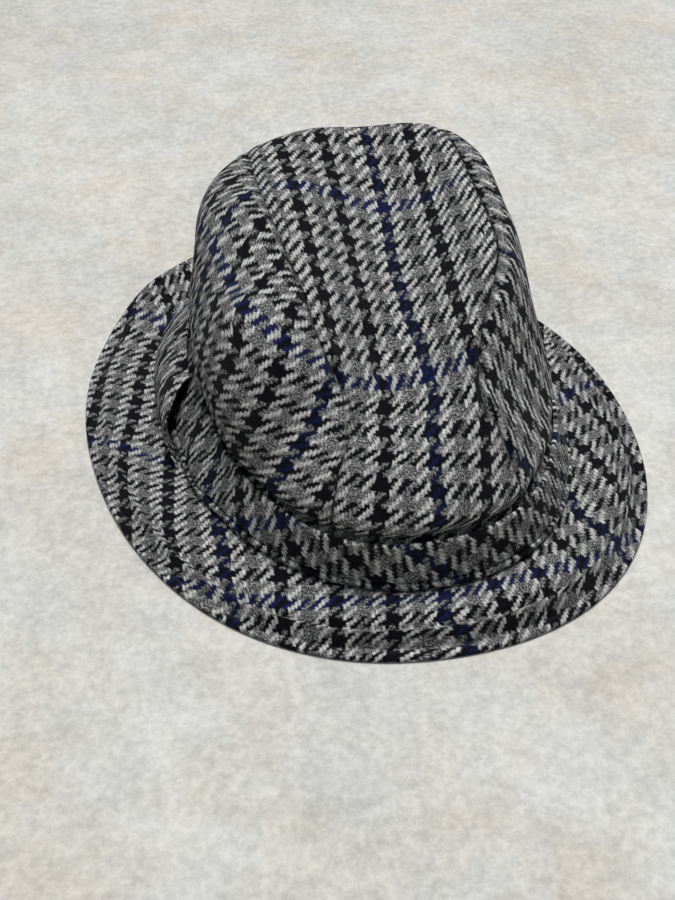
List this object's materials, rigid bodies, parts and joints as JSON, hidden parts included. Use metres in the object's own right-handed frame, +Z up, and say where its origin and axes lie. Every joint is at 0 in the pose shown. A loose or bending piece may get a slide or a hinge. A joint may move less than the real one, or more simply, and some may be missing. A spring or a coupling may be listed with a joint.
{
  "type": "soft tweed trilby hat",
  "caption": "Soft wool check trilby with a creased, seamed crown, a self-cloth band with a puffed loop at the left, and a narrow rolled brim, lying on its brim.",
  "frame": {"origin": "on the surface the hat lies on, in the middle of the brim's width and length", "axes": "+Z up, the front of the hat towards -Y, its back towards +Y, the side with the loop towards -X; the hat lies on its brim as worn, crown up"},
  "size_m": [0.2543, 0.2779, 0.1096],
  "materials": {
    "check_tweed": "matte",
    "band_tweed": "matte",
    "brim_tweed": "matte"
  },
  "bodies": {
    "root": {"crown_left_panel": "check_tweed", "crown_middle_panel": "check_tweed", "crown_right_panel": "check_tweed", "band": "band_tweed", "band_loop": "band_tweed", "brim": "brim_tweed"}
  },
  "joints": []
}
